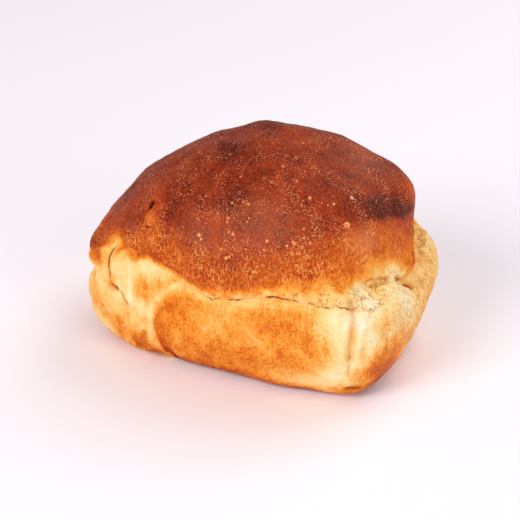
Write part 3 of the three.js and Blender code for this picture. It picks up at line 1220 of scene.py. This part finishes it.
@dataclass
class BakeMap:
    """How dark each point baked, from 0 raw-pale crumb to 1 nearly burnt; some spots are painted shade or
    highlight.
    """

    front: GoldenFront = field(default_factory=GoldenFront)
    front_pale_level: float = 0.29
    fold_contrast: float = 0.13
    side_level: float = 0.44
    side_rises: tuple[Rise, ...] = (Rise(-8, 32, -0.22), Rise(180, 30, -0.08), Rise(45, 20, -0.16))
    front_start: float = 26.4
    front_fade: float = 12.0
    under_rim_level: float = 0.32
    under_rim_height: float = 7.5
    under_rim_wander: float = 0.5
    base_darker: float = 0.3
    base_edge_height: float = 13.0
    base_darkens_from: float = 0.3
    torn_level: float = 0.27
    torn_rises: tuple[Rise, ...] = (
        Rise(-8, 26, -0.25),
        Rise(-130, 26, -0.04),
        Rise(-97, 8, 0.22),
        Rise(-62, 11, 0.07),
    )
    torn_start: float = 2.5
    thin_tear: float = 3.0
    wide_tear: float = 8.0
    pale_skin_rises: tuple[Rise, ...] = (
        Rise(-12, 14, 8.5),
        Rise(-121, 15, -4.0),
        Rise(-116, 3, -2.5),
        Rise(-98, 9, -3.5),
        Rise(-31, 7, 4.5),
        Rise(-51, 7, -2.5),
    )
    lip_level: float = 0.47
    low_wall_level: float = 0.76
    crown_level: float = 0.9
    lip_fade: float = 7.0
    lip_fade_rises: tuple[Rise, ...] = (Rise(-113, 10, -4.5), Rise(-128, 9, 1.5), Rise(-22, 16, 6.0))
    lip_softness: float = 3.0
    dark_height: float = 68.0
    dark_rises: tuple[Rise, ...] = (
        Rise(-25, 45, 21),
        Rise(-30, 12, 2.5),
        Rise(-54, 14, 4),
        Rise(110, 60, 6),
        Rise(-96, 26, 11),
    )
    dark_fade: float = 13.0
    dark_fade_rises: tuple[Rise, ...] = (Rise(-10, 45, -10.5), Rise(-96, 28, 16))
    dark_wander: float = 0.3
    scorch_rises: tuple[Rise, ...] = (Rise(-2, 26, 0.15),)
    scorch_height: float = 5.0
    wander: float = 2.6
    raggedness: float = 2.4
    drift: Lumps = Lumps((11.0, 11.0, 11.0), 3, 4.0)
    ragged: Lumps = Lumps((5.0, 5.0, 7.0), 2, 6.0)
    folds: Lumps = Lumps((5.0, 5.0, 18.0), 2, 8.0)
    spots: tuple[Spot, ...] = (
        Spot("lighter front of the burnt shoulder", (57, -27, 97), (9, 9, 5), -0.05),
        Spot("lighter left slope", (-60, -35, 77), (10, 10, 8), -0.07),
        Spot("orange above the right lip", (68, -24, 73), (14, 22, 9), -0.12),
        # Painted sheen: the right brow is drawn paler where light glances off it.
        Spot("painted sheen on the right brow", (72, 29, 89), (6, 10, 7), -0.19),
        Spot("cliff under the right brow", (76, 10, 72), (9, 18, 6), 0.04),
        Spot("orange above the front's right lip", (59, -40.5, 79), (7, 7, 8), -0.08),
        Spot("redder above the crack", (-1, -54, 73), (12, 8, 7), 0.06),
        Spot("orange above the crack's middle", (21, -55.5, 67), (8, 8, 5), -0.05),
        Spot("browner above the crack's right end", (51, -48.5, 70.5), (6, 6, 4), 0.06),
        Spot("browner above the crack's left end", (-26, -55.5, 64.5), (6, 6, 4), 0.05),
        Spot("darker beside the large blister", (56.5, -35, 88.5), (5, 6, 4), 0.05),
        # Painted shade beside the crown's ridge and painted highlight on its crest.
        Spot("painted shade beside the ridge", (-28.5, -52.5, 76), (3, 6, 8), 0.07),
        Spot("painted highlight on the crest of the ridge", (-34.5, -52, 77), (3, 6, 9), -0.06),
        # Painted shade in the hollows of the crown's valley.
        Spot("painted shade in the hollow near the summit", (-6, -20, 112), (11, 9, 8), 0.06),
        Spot("painted shade in the hollow above the front", (5, -38, 104), (5, 6, 10), 0.08),
        Spot("dark summit", (-9, 18, 112), (16, 10, 8), 0.05),
        Spot("reddish mid crown", (24, -36, 100), (16, 10, 9), -0.02),
        Spot("orange ridge", (-36, -44, 82), (8, 12, 12), -0.08),
        Spot("lighter patch under the nick", (-38, -47, 83), (3, 6, 3.5), -0.12),
        Spot("orange left brow", (-58, -47, 66), (6, 8, 5), -0.20),
        Spot("orange left lobe", (-74, -40, 55), (9, 13, 5), 0.34),
        Spot("orange beside the left crease", (-68, -46, 58), (6, 7, 4), 0.20),
        Spot("orange under the left brow", (-56, -50, 62), (6, 7, 3.5), 0.14),
        Spot("dusky patch left of the summit", (-13.6, -9, 112), (6, 6, 6), 0.07),
        # Painted highlight on the crest of the crown's left ridge.
        Spot("painted highlight on the crest of the left ridge", (-42, -36, 91), (5, 12, 14), -0.08),
        Spot("orange foot of the cliff", (76.5, 0, 62), (6, 12, 8), -0.17),
        Spot("browned left lobe", (-70, -42, 40), (9, 12, 16), 0.06),
        Spot("orange blotch", (-41, -55, 47.5), (4, 8, 6), 0.20, 3.0),
        Spot("orange left foot", (-56, -50, 19), (8, 10, 8), 0.14, 3.0),
        Spot("orange left toe", (-39, -50, 12), (16, 10, 11), 0.26, 3.0),
        Spot("orange streak over the toe", (-40, -54, 28), (4, 8, 3), 0.14, 3.0),
        Spot("cream beside the crease", (-54, -52, 48), (3.5, 8, 9), -0.08),
        # Painted highlight along the pale ridge at the left.
        Spot("painted highlight on the pale ridge", (-47.5, -54, 45), (2.2, 8, 16), -0.18),
        Spot("cream under the brow", (-51, -50, 60), (6, 6, 4), -0.03),
        Spot("cream above the crack's left end", (-32, -56, 61), (6, 6, 3), -0.10),
        Spot("cream front right corner", (60, -51, 52), (6, 8, 8), -0.17),
        Spot("cream foot of the front", (58, -49, 19), (7, 8, 7), -0.12),
        Spot("cream right of the right crease", (74, -44, 48), (8, 8, 15), -0.24),
        Spot("cream end under the lip", (82, -20, 52), (9, 18, 11), -0.20),
        Spot("cream left of the right crease", (64, -50, 48), (5, 8, 10), -0.10),
        Spot("golden right of the front", (51, -53, 36), (9, 8, 8), 0.18),
        Spot("golden foot right of the front", (55, -52, 30), (4.5, 8, 9), 0.10),
        Spot("browned corner of the right foot", (73, -44, 21), (6, 8, 7), 0.18),
        Spot("cream foot of the right crease", (67, -46, 25), (7, 8, 12), -0.24),
        Spot("orange right of the middle", (31, -55, 44), (9, 8, 7), 0.15),
        Spot("orange middle", (12, -53, 15), (26, 8, 9), 0.13),
        Spot("cream beside the golden front", (-41, -55, 33), (3.5, 8, 8), -0.06),
        Spot("golden over the left toe", (-27, -52, 18), (6, 8, 7), -0.12),
        # Painted highlight at the edge of the nick in the left toe.
        Spot("painted highlight at the edge of the toe's nick", (-27, -47, 10), (5, 6, 4), -0.30),
        Spot("orange at the crack's left end", (-27, -56, 45), (8, 8, 10), 0.12),
        Spot("bright front", (11, -56, 45), (14, 8, 9), -0.10),
        Spot("cream beside the left crease's end", (-54, -52, 39), (5, 8, 6), -0.10),
        Spot("golden right foot", (44, -50, 10), (18, 10, 8), -0.26),
        # Darker brown round the slot in the right foot, painted shade of the slot.
        Spot("painted shade around the slot", (66.5, -41, 8.6), (7, 6, 2.6), 0.34),
        Spot("browned corner of the right end", (84, -30, 12), (18, 25, 25), 0.34, 4.0),
        Spot("brown edge of the right end", (86, 14, 20), (9, 16, 18), 0.14),
        Spot("brown line of the right end's foot", (80, -20, 6), (14, 34, 7), 0.12),
        Spot("smudge on the right end", (82, -38, 48), (5, 8, 3.5), 0.13),
        Spot("pale back left corner", (-62, 50, 40), (18, 16, 22), -0.14),
    )

    def levels(self, skin: Skin) -> np.ndarray:
        """Works out the bake of each point.

        Args:
            skin: The loaf's smooth skin.

        Returns:
            One level for each point.
        """
        places, angle = skin.places, skin.angle
        drift = self.drift.over(places)
        wide = smooth((skin.tear - self.thin_tear) / (self.wide_tear - self.thin_tear))
        band = self.torn_level + total_rise(self.torn_rises, angle) * wide
        side = self._side(skin, drift)
        side = mix(side, band, smooth(skin.above_rim / self.torn_start + 1) * wide)
        above_pale = skin.above_rim - skin.tear - total_rise(self.pale_skin_rises, angle)
        wall = self._wall(places[:, 2], above_pale, angle, drift)
        over = above_pale + drift * self.wander + self.ragged.over(places) * self.raggedness
        wall = mix(band, wall, crossing(over, self.lip_softness))
        level = np.where(skin.zone >= Zone.TEAR.value, wall, side)
        # Most spots are how the crust baked; some paint shade into hollows and a slot, and highlights or
        # sheen onto ridges and brows.
        for spot in self.spots:
            level = level + spot.over(places, drift)
        return np.clip(level, 0.0, 1.0)

    def _side(self, skin: Skin, drift: np.ndarray) -> np.ndarray:
        """The bake of the tin-baked side.

        Args:
            skin: The loaf's smooth skin.
            drift: Slow unevenness at each point, which makes the edges wander.

        Returns:
            One level for each point.
        """
        places = skin.places
        facing = smooth((-places[:, 1] - self.front_start) / self.front_fade)
        pale = self.front_pale_level + self.fold_contrast * self.folds.over(places)
        around = self.side_level + total_rise(self.side_rises, skin.angle)
        level = mix(around, self.front.over(pale, places, drift), facing)
        under = smooth(-skin.above_rim / self.under_rim_height + drift * self.under_rim_wander)
        level = mix(np.minimum(level, self.under_rim_level), level, under)
        low = 1 - smooth(places[:, 2] / self.base_edge_height)
        return level + self.base_darker * low * smooth(level / self.base_darkens_from)

    def _wall(
        self, height: np.ndarray, above_lip: np.ndarray, angle: np.ndarray, drift: np.ndarray
    ) -> np.ndarray:
        """The bake of the crown's wall and dome.

        Args:
            height: Height of each point over the base.
            above_lip: Its height over the line where the crown's browned skin begins.
            angle: Compass angle, in degrees.
            drift: Slow unevenness, which makes the edges wander.

        Returns:
            One level for each point.
        """
        lip_fade = self.lip_fade + total_rise(self.lip_fade_rises, angle)
        low = mix(self.lip_level, self.low_wall_level, smooth((above_lip + drift * self.wander) / lip_fade))
        edge = self.dark_height + total_rise(self.dark_rises, angle)
        fade = self.dark_fade + total_rise(self.dark_fade_rises, angle)
        above_edge = height - edge + drift * fade * self.dark_wander
        scorch = total_rise(self.scorch_rises, angle) * np.exp(-((above_edge / self.scorch_height - 1) ** 2))
        return mix(low, self.crown_level, crossing(above_edge, fade)) + scorch


# ---------------------------------------------------------------- the loaf


@dataclass(frozen=True)
class Relief:
    """One size of lumps in the skin, and its depth: all over, more on the sides and as pits in torn crumb."""

    lumps: Lumps
    depth: float
    more_on_sides: float = 0.0
    pits: float = 0.0


@dataclass
class Loaf:
    """The whole loaf as one closed skin."""

    form: LoafForm = field(default_factory=LoafForm)
    bake: BakeMap = field(default_factory=BakeMap)
    finish: CrustFinish = field(default_factory=CrustFinish)
    # A furrow's fifth and sixth values are the shade painted along it and how wide that painted shade is.
    furrows: tuple[Furrow, ...] = (
        Furrow(
            "right corner crease",
            (
                (66.2, -44.6, 60),
                (67.3, -45.1, 56.7),
                (69, -47, 52),
                (67.3, -46.8, 39.6),
                (66.9, -46.7, 29.5),
            ),
            1.7,
            3.0,
            0.5,
            3.4,
        ),
        Furrow(
            "right lip of the crease",
            ((72.2, -44.6, 54), (70.2, -44.6, 38), (69.6, -44.5, 29)),
            1.9,
            -1.0,
        ),
        Furrow(
            "fine end of the right crease",
            ((66.9, -46.7, 29.5), (65.6, -44.7, 19.2)),
            1.1,
            1.0,
            0.66,
            1.8,
        ),
        Furrow(
            "left corner crease",
            ((-60.4, -47, 63), (-62.2, -49, 58), (-62.4, -50, 54), (-62, -50, 49), (-59.8, -49, 42.6)),
            1.5,
            1.6,
            0.95,
        ),
        Furrow("hole in the left crease", ((-59.8, -49, 42.8), (-56.8, -51, 42.3)), 1.6, 2.4, 1.0, 3.6),
        Furrow(
            "left crease, lower",
            ((-56.4, -51, 42.3), (-52.8, -53, 41), (-51, -53.5, 34)),
            1.1,
            1.0,
            0.8,
        ),
        Furrow(
            "faint fold of the left lobe",
            ((-68, -49, 36), (-62, -51, 38.5), (-56.5, -53, 39.5)),
            1.6,
            0.9,
        ),
        Furrow("pale ridge at the left", ((-47.6, -53, 63), (-46.5, -55, 51), (-45, -56, 41)), 1.7, -1.3),
        Furrow("valley beside the pale ridge", ((-43.5, -54, 60), (-42.8, -55, 48)), 1.7, 0.9),
        Furrow("second pale ridge", ((-36, -55, 57), (-33.5, -55, 48), (-32, -56, 42)), 2.2, -1.0),
        Furrow(
            "valley above the left toe",
            ((-42, -53, 19), (-44.2, -51, 11), (-47, -48, 4)),
            1.8,
            2.2,
            0.7,
            2.4,
        ),
        Furrow("fold of the left toe", ((-37, -54, 24), (-40, -52, 14), (-42, -49, 8)), 2.0, -1.4),
        Furrow("fold over the left toe", ((-51, -53, 35), (-45, -54, 28), (-37, -54, 21)), 2.6, 1.4),
        Furrow("nick in the left toe", ((-29.5, -50, 11), (-30, -46, 5)), 2.0, 1.6),
        Furrow("nick in the front's foot", ((-6, -46, 5), (-5, -42, 1)), 1.4, 1.4, 0.3),
        Furrow(
            "slot in the right foot",
            ((64.2, -41, 8.8), (67, -40.5, 8.2), (70, -39, 7.6)),
            1.2,
            2.2,
            1.0,
            4.0,
        ),
        Furrow("lumpy ridge of the crown", ((-42, -39, 88), (-36, -48, 79), (-31, -54, 64)), 4.2, -1.3),
        Furrow("valley beside the ridge", ((-33, -38, 93), (-29, -48, 82), (-26, -54, 68)), 3.4, 1.3),
        Furrow("nick in the crown", ((-40.6, -39.6, 88.2), (-41.1, -41, 86.8)), 1.8, 2.8, 1.0, 4.2),
        Furrow("tail of the nick", ((-41.1, -41, 86.8), (-42.2, -43.2, 84.9)), 0.9, 1.0, 0.85),
        Furrow(
            "short split in the crown",
            ((-41, -47, 79), (-38, -50, 80.5), (-35.5, -51, 82.5)),
            0.9,
            1.2,
            0.95,
            1.8,
        ),
        Furrow("valley of the crown", ((-18, 14, 113), (-6, -20, 112), (6, -39, 103)), 8.0, 1.1),
        Furrow("opening under the lip", ((74, -24, 63), (76.5, -16, 60)), 1.0, 1.0, 0.85, 1.8),
        Furrow("second opening under the lip", ((78, -8, 56), (78.5, 0, 50)), 1.1, 1.2, 0.9, 2.0),
        Furrow("opening at the right end", ((78, 1.4, 48.4), (79.8, 3.7, 45.4)), 1.5, 2.0, 1.0, 3.4),
        # Painted shadow where the cliff hides the lobe behind it, over a shallow furrow.
        Furrow(
            "painted shadow line behind the cliff",
            ((75.5, 14.5, 64), (78, 9.5, 60), (79, 7.5, 56)),
            1.0,
            0.7,
            0.8,
            1.8,
        ),
    )
    flat_base_margin: float = 5.0
    reliefs: tuple[Relief, ...] = (
        Relief(Lumps((24.0, 24.0, 24.0), 2, 1.0), 1.0),
        Relief(Lumps((6.0, 6.0, 7.0), 2, 2.0), 0.22, 0.18, 1.3),
        Relief(Lumps((2.6, 2.6, 2.6), 2, 3.0), 0.06, 0.08, 1.0),
    )
    torn_proud: float = 0.6
    drift: Lumps = Lumps((6.0, 6.0, 6.0), 2, 9.0)
    thin_tear: float = 1.5
    wide_tear: float = 4.0
    torn_below_rim: float = 2.0
    torn_start_fade: float = 3.0
    torn_over_lip: float = 1.0
    torn_end_fade: float = 2.5
    torn_share: float = 0.8
    torn_patchiness: float = 0.6
    porous_rises: tuple[Rise, ...] = (Rise(-28, 36, 1.2), Rise(40, 24, 1.0), Rise(-128, 26, 0.2))
    toast_rises: tuple[Rise, ...] = (Rise(0, 36, 1.0),)
    # The crack along the rim is drawn only as painted shade; these place it and break it up.
    crack_rises: tuple[Rise, ...] = (Rise(-74, 24, 1.8), Rise(-48, 7, 0.8))
    crack_share: float = 0.92
    crack_patchiness: float = 0.7
    crack_half_width: float = 1.3
    crack_lumps: Lumps = Lumps((2.2, 2.2, 2.2), 1, 5.0)
    crack_jaggedness: float = 1.1
    crown_fade: float = 6.0
    crown_wander: float = 2.0
    bare_rises: tuple[Rise, ...] = (Rise(4, 26, 1.0), Rise(-140, 18, 0.6))
    bare_height: float = 80.0
    bare_fade: float = 8.0
    stipple_height: float = 10.0
    stipple_height_rises: tuple[Rise, ...] = (Rise(-130, 22, -12.0), Rise(-16, 26, 10.0))
    stipple_fade: float = 16.0
    stipple_wander: float = 8.0
    # Where a soft sheen is painted on the crown as a pale tint; the change is its strength.
    painted_sheens: tuple[Spot, ...] = (
        Spot("painted sheen on the right of the crown", (50, 18, 105), (20, 24, 9), 0.9),
        Spot("painted sheen on the front of the crown", (22, -46, 92), (18, 14, 12), 0.9),
        Spot("painted sheen above the right lip", (66, -27, 85), (8, 9, 6), 1.7),
        Spot("painted sheen over the crack", (-8, -51.5, 82), (12, 10, 7), 0.7),
    )

    def build(self) -> bpy.types.Object:
        """Shapes the skin.

        Returns:
            The finished loaf, standing where its solid stands.
        """
        mesh = self._grid()
        cube = read_vectors(mesh.vertices, "co")
        places, zone = self.form.shape(cube)
        write_points(mesh, places)
        angle = np.degrees(np.arctan2(cube[:, 1], cube[:, 0]))
        skin = Skin(
            places=places,
            outward=read_vectors(mesh.vertex_normals, "vector"),
            zone=zone,
            angle=angle,
            above_rim=places[:, 2] - self.form.rim(angle),
            tear=self.form.tear(angle),
        )
        masks = self._masks(skin)
        places = places - skin.outward * self._relief(skin, masks)[:, None]
        places[:, 2] = np.maximum(places[:, 2], 0.0)
        write_points(mesh, self._stand(places) * MM)
        masks["bake"] = self.bake.levels(skin)
        for name, values in masks.items():
            write_attribute(mesh, name, values)
        mesh.shade_smooth()
        loaf = bpy.data.objects.new("loaf_crust", mesh)
        bpy.context.collection.objects.link(loaf)
        return loaf

    def dress(self, loaf: bpy.types.Object) -> None:
        """Gives the loaf its crust and its place in the frame.

        Args:
            loaf: The finished loaf.
        """
        loaf.data.materials.append(self.finish.build())
        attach(loaf, BODY)
        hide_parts(NODE)

    def _grid(self) -> bpy.types.Mesh:
        """Makes a cube with as many cells along, across and up as the form asks for.

        Returns:
            The cube's mesh, from -1 to 1 along each axis.
        """
        grid = bmesh.new()
        bmesh.ops.create_cube(grid, size=2.0)
        cells = (self.form.cells_long, self.form.cells_wide, self.form.cells_high)
        for axis, count in enumerate(cells):
            runs = [edge for edge in grid.edges if edge.verts[0].co[axis] * edge.verts[1].co[axis] < 0]
            bmesh.ops.subdivide_edges(grid, edges=runs, cuts=count - 1, use_grid_fill=True)
        mesh = bpy.data.meshes.new("loaf_crust")
        grid.to_mesh(mesh)
        grid.free()
        return mesh

    def _masks(self, skin: Skin) -> dict[str, np.ndarray]:
        """The masks that the crust's finish reads.

        Args:
            skin: The loaf's smooth skin.

        Returns:
            By name, each from 0 to 1: torn is porous crumb, crown is the crown's skin, specked the part of
            it with small dots, stipple its lower part with short streaks, the sheen mask how much soft sheen
            is painted on the crown, toast the browned right-hand end and the crack mask how dark the shade
            painted into a crack, crease or hole is.
        """
        places, angle = skin.places, skin.angle
        drift = self.drift.over(places)
        above_lip = skin.above_rim - skin.tear
        pale_skin = total_rise(self.bake.pale_skin_rises, angle)
        torn = smooth((skin.above_rim + self.torn_below_rim) / self.torn_start_fade)
        torn = torn * smooth((self.torn_over_lip + pale_skin - above_lip) / self.torn_end_fade)
        torn = torn * smooth((skin.tear - self.thin_tear) / (self.wide_tear - self.thin_tear))
        torn = torn * np.clip(total_rise(self.porous_rises, angle), 0, 1)
        torn = torn * np.clip(self.torn_share + drift * self.torn_patchiness, 0, 1)
        over = skin.zone >= Zone.TEAR.value
        crown = smooth((above_lip - pale_skin + drift * self.crown_wander) / self.crown_fade) * over
        bare = np.clip(total_rise(self.bare_rises, angle), 0, 1)
        low = 1 - smooth((places[:, 2] - self.bare_height) / self.bare_fade)
        reach = self.stipple_height + total_rise(self.stipple_height_rises, angle)
        high = smooth((above_lip - reach + drift * self.stipple_wander) / self.stipple_fade)
        return {
            "torn": torn,
            "crown": crown,
            "specked": crown * (1 - bare * low),
            "stipple": crown * (1 - high),
            "toast": (1 - over) * (1 - torn) * np.clip(total_rise(self.toast_rises, angle), 0, 1),
            "seam": self._crack_shade(skin, drift),
            "painted_sheen": crown * sum(spot.over(places, drift) for spot in self.painted_sheens),
        }

    def _crack_shade(self, skin: Skin, drift: np.ndarray) -> np.ndarray:
        """How dark the shade painted into the crack along the rim and into the furrows is.

        Args:
            skin: The loaf's smooth skin.
            drift: Slow unevenness at each point, which breaks the crack up.

        Returns:
            One value for each point, from 0 to 1 in the heart of a crack.
        """
        places = skin.places
        broken = np.clip(total_rise(self.crack_rises, skin.angle), 0, 1)
        broken = broken * np.clip(self.crack_share + drift * self.crack_patchiness, 0, 1)
        jagged = skin.above_rim + self.crack_jaggedness * self.crack_lumps.over(places)
        seam = broken * np.clip(1 - np.abs(jagged) / self.crack_half_width, 0, 1)
        fade = smooth(places[:, 2] / self.flat_base_margin)
        for furrow in self.furrows:
            across = path_distance(places, skin.outward, furrow.path) / furrow.crack_shade_width
            seam = np.maximum(seam, furrow.seam * np.clip(1 - across, 0, 1) * fade)
        return seam

    def _relief(self, skin: Skin, masks: Mapping[str, np.ndarray]) -> np.ndarray:
        """How far each point lies below the smooth form.

        Args:
            skin: The loaf's smooth skin.
            masks: How torn and how much crown each point is.

        Returns:
            One depth for each point, in millimetres.
        """
        torn, side = masks["torn"], 1 - masks["crown"]
        depth = -self.torn_proud * torn
        for relief in self.reliefs:
            lumps = relief.lumps.over(skin.places)
            depth = depth + lumps * (relief.depth + relief.more_on_sides * side)
            depth = depth + np.abs(lumps) * relief.pits * torn
        for furrow in self.furrows:
            across = path_distance(skin.places, skin.outward, furrow.path) / furrow.width
            depth = depth + furrow.depth * np.exp(-(across**2))
        return depth * smooth(skin.places[:, 2] / self.flat_base_margin)

    @staticmethod
    def _stand(places: np.ndarray) -> np.ndarray:
        """Moves the skin so that it stands on the solid's base, the middle of its box over the solid's.

        Args:
            places: Points in millimetres.

        Returns:
            The moved points.
        """
        low, high = (np.array(corner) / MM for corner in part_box(NODE))
        middle = (places.min(axis=0) + places.max(axis=0)) / 2
        shift = (low + high) / 2 - middle
        shift[2] = low[2] - places[:, 2].min()
        return places + shift


@dataclass(frozen=True)
class Blister:
    """One blister, by the pixel of the photo at its middle and its radius in millimetres."""

    pixel: tuple[float, float]
    radius: float


@dataclass
class Blisters:
    """The golden blisters on the crown: those the photo shows, and small ones scattered among them."""

    shown: tuple[Blister, ...] = (
        Blister((283, 166), 1.1),
        Blister((310, 198), 1.15),
        Blister((322, 203), 0.6),
        Blister((328, 205), 0.7),
        Blister((334, 204), 0.8),
        Blister((352, 198), 1.3),
        Blister((347, 225), 2.0),
        Blister((304, 229), 0.9),
        Blister((304, 238), 0.7),
        Blister((310, 243), 0.9),
        Blister((294, 244), 1.1),
        Blister((287, 246), 0.8),
        Blister((267, 241), 1.1),
        Blister((264, 250), 0.6),
        Blister((272, 251), 0.5),
        Blister((199, 235), 1.2),
        Blister((201, 239), 0.9),
        Blister((228, 218), 1.0),
        Blister((227, 222), 0.7),
        Blister((229, 232), 0.8),
        Blister((233, 234), 1.2),
        Blister((232, 203), 0.8),
        Blister((248, 204), 0.9),
        Blister((243, 202), 0.7),
        Blister((221, 249), 1.0),
        Blister((226, 258), 1.0),
        Blister((229, 257), 0.8),
        Blister((232, 254), 0.6),
        Blister((249, 218), 0.6),
        Blister((247, 222), 0.5),
    )
    scattered: int = 140
    least_radius: float = 0.3
    most_radius: float = 0.6
    seed: int = 11
    least_crown: float = 0.9
    sunk: float = 0.35
    flatness: float = 0.62
    around: int = 9
    over: int = 6
    finish: BlisterFinish = field(default_factory=BlisterFinish)

    def build(self, loaf: bpy.types.Object, viewpoint: "Viewpoint") -> bpy.types.Object:
        """Sets the blisters into the crown.

        Args:
            loaf: The loaf they sit on.
            viewpoint: Where the photo was taken from.

        Returns:
            One piece with every blister.
        """
        domes = bmesh.new()
        skin = BVHTree.FromPolygons(
            [vertex.co for vertex in loaf.data.vertices], [face.vertices for face in loaf.data.polygons]
        )
        for blister in self.shown:
            place, outward, _, _ = skin.ray_cast(viewpoint.place, viewpoint.ray(blister.pixel))
            self._raise(domes, place, outward, blister.radius)
        dice = random.Random(self.seed)
        crown = [value.value for value in loaf.data.attributes["crown"].data]
        homes = [vertex for vertex, share in zip(loaf.data.vertices, crown) if share > self.least_crown]
        for vertex in dice.sample(homes, self.scattered):
            self._raise(domes, vertex.co, vertex.normal, dice.uniform(self.least_radius, self.most_radius))
        mesh = bpy.data.meshes.new("blisters")
        domes.to_mesh(mesh)
        domes.free()
        mesh.shade_smooth()
        blisters = bpy.data.objects.new("blisters", mesh)
        bpy.context.collection.objects.link(blisters)
        return blisters

    def dress(self, blisters: bpy.types.Object) -> None:
        """Gives the blisters their skin and their place in the frame."""
        blisters.data.materials.append(self.finish.build())
        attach(blisters, BODY)

    def _raise(self, domes: bmesh.types.BMesh, place: Vector, outward: Vector, radius: float) -> None:
        """Adds one flattened ball, partly sunk into the skin.

        Args:
            domes: Where it is added.
            place: The point of the skin under its middle, in metres.
            outward: The skin's outward direction there.
            radius: Its radius in millimetres.
        """
        size = radius * MM
        stand = Matrix.Translation(place - outward * size * self.sunk)
        turn = outward.to_track_quat("Z", "Y").to_matrix().to_4x4()
        squash = Matrix.Diagonal((1.0, 1.0, self.flatness, 1.0))
        bmesh.ops.create_uvsphere(
            domes, u_segments=self.around, v_segments=self.over, radius=size, matrix=stand @ turn @ squash
        )


def read_vectors(values: bpy.types.bpy_prop_collection, name: str) -> np.ndarray:
    """Reads one vector of each member of a collection.

    Args:
        values: A mesh's vertices or its vertex normals.
        name: The property that holds the vector.

    Returns:
        The vectors, one a row.
    """
    flat = np.empty(len(values) * 3)
    values.foreach_get(name, flat)
    return flat.reshape(-1, 3)


def write_points(mesh: bpy.types.Mesh, places: np.ndarray) -> None:
    """Moves the mesh's points to these places."""
    mesh.vertices.foreach_set("co", places.ravel())
    mesh.update()


def write_attribute(mesh: bpy.types.Mesh, name: str, values: np.ndarray) -> None:
    """Gives each of the mesh's points a number that a finish can read."""
    attribute = mesh.attributes.new(name, "FLOAT", "POINT")
    attribute.data.foreach_set("value", values.astype(np.float32))


# ---------------------------------------------------------------- the studio


@dataclass
class Viewpoint:
    """Where the photo was taken from, in degrees and millimetres."""

    azimuth: float = 23.7
    elevation: float = 29.0
    distance: float = 810.0
    aim: Point = (-0.1, -1.0, 45.3)
    lens: float = 109.0
    sensor: float = 36.0

    @property
    def back(self) -> Vector:
        """Direction from the loaf to the camera.

        Returns:
            A vector of length 1.
        """
        turn, rise = math.radians(self.azimuth), math.radians(self.elevation)
        across = math.cos(rise)
        return Vector((math.sin(turn) * across, -math.cos(turn) * across, math.sin(rise)))

    @property
    def place(self) -> Vector:
        """Where the camera stands, in metres."""
        return (Vector(self.aim) + self.back * self.distance) * MM

    def ray(self, pixel: tuple[float, float]) -> Vector:
        """Direction from the camera through a pixel of the photo.

        Args:
            pixel: Across from the left edge and down from the top edge.

        Returns:
            A vector of length 1.
        """
        turn = (-self.back).to_track_quat("-Z", "Y")
        half = PHOTO_WIDTH / 2
        scale = self.sensor / self.lens / PHOTO_WIDTH
        across, up = (pixel[0] - half) * scale, (half - pixel[1]) * scale
        return (turn @ Vector((across, up, -1.0))).normalized()

    def build(self) -> None:
        """Makes the camera and looks through it."""
        data = bpy.data.cameras.new("photo_camera")
        data.lens = self.lens
        data.sensor_width = self.sensor
        camera = bpy.data.objects.new("photo_camera", data)
        camera.location = self.place
        camera.rotation_mode = "QUATERNION"
        camera.rotation_quaternion = (-self.back).to_track_quat("-Z", "Y")
        bpy.context.collection.objects.link(camera)
        bpy.context.scene.camera = camera


@dataclass(frozen=True)
class Softbox:
    """One large soft white light, with its place and width in metres and its power in watts."""

    name: str
    place: Point
    size: float
    power: float


@dataclass
class Studio:
    """The pale floor, the soft lights and the pale room, in metres."""

    floor_size: float = 6.0
    floor: FloorFinish = field(default_factory=FloorFinish)
    room_colour: Colour = srgb(255, 251, 255)
    room_strength: float = 0.44
    softboxes: tuple[Softbox, ...] = (
        Softbox("key_light", (-0.5, -1.25, 1.0), 0.7, 13.5),
        Softbox("fill_light", (1.3, -0.7, 0.7), 0.9, 6.0),
        Softbox("top_light", (0.5, 0.95, 1.3), 1.2, 11.0),
    )
    aim: Point = (0.0, 0.0, 0.05)

    def build(self) -> None:
        """Makes the floor, the lights and the room."""
        sheet = bmesh.new()
        bmesh.ops.create_grid(sheet, x_segments=1, y_segments=1, size=self.floor_size / 2)
        mesh = bpy.data.meshes.new("floor")
        sheet.to_mesh(mesh)
        sheet.free()
        floor = bpy.data.objects.new("floor", mesh)
        mesh.materials.append(self.floor.build())
        bpy.context.collection.objects.link(floor)
        for softbox in self.softboxes:
            self._hang(softbox)
        world = bpy.data.worlds.new("pale_room")
        world.use_nodes = True
        background = world.node_tree.nodes["Background"]
        background.inputs["Color"].default_value = self.room_colour
        background.inputs["Strength"].default_value = self.room_strength
        bpy.context.scene.world = world
        bpy.context.scene.view_settings.view_transform = "Standard"

    def _hang(self, softbox: Softbox) -> None:
        """Makes one light that faces the loaf.

        Args:
            softbox: The light.
        """
        data = bpy.data.lights.new(softbox.name, "AREA")
        data.shape = "SQUARE"
        data.size = softbox.size
        data.energy = softbox.power
        light = bpy.data.objects.new(softbox.name, data)
        light.location = softbox.place
        towards = Vector(self.aim) - Vector(softbox.place)
        light.rotation_mode = "QUATERNION"
        light.rotation_quaternion = towards.to_track_quat("-Z", "Y")
        bpy.context.collection.objects.link(light)


def main() -> None:
    """Builds the camera, the studio and the loaf, and reports each piece."""
    logging.basicConfig(level=logging.INFO, format="%(name)s: %(message)s")
    viewpoint = Viewpoint()
    viewpoint.build()
    Studio().build()
    loaf_maker = Loaf()
    loaf = loaf_maker.build()
    loaf_maker.dress(loaf)
    blister_maker = Blisters()
    blisters = blister_maker.build(loaf, viewpoint)
    blister_maker.dress(blisters)
    for piece in (loaf, blisters):
        log.info("%s: %d faces", piece.name, len(piece.data.polygons))


if __name__ == "__main__":
    main()
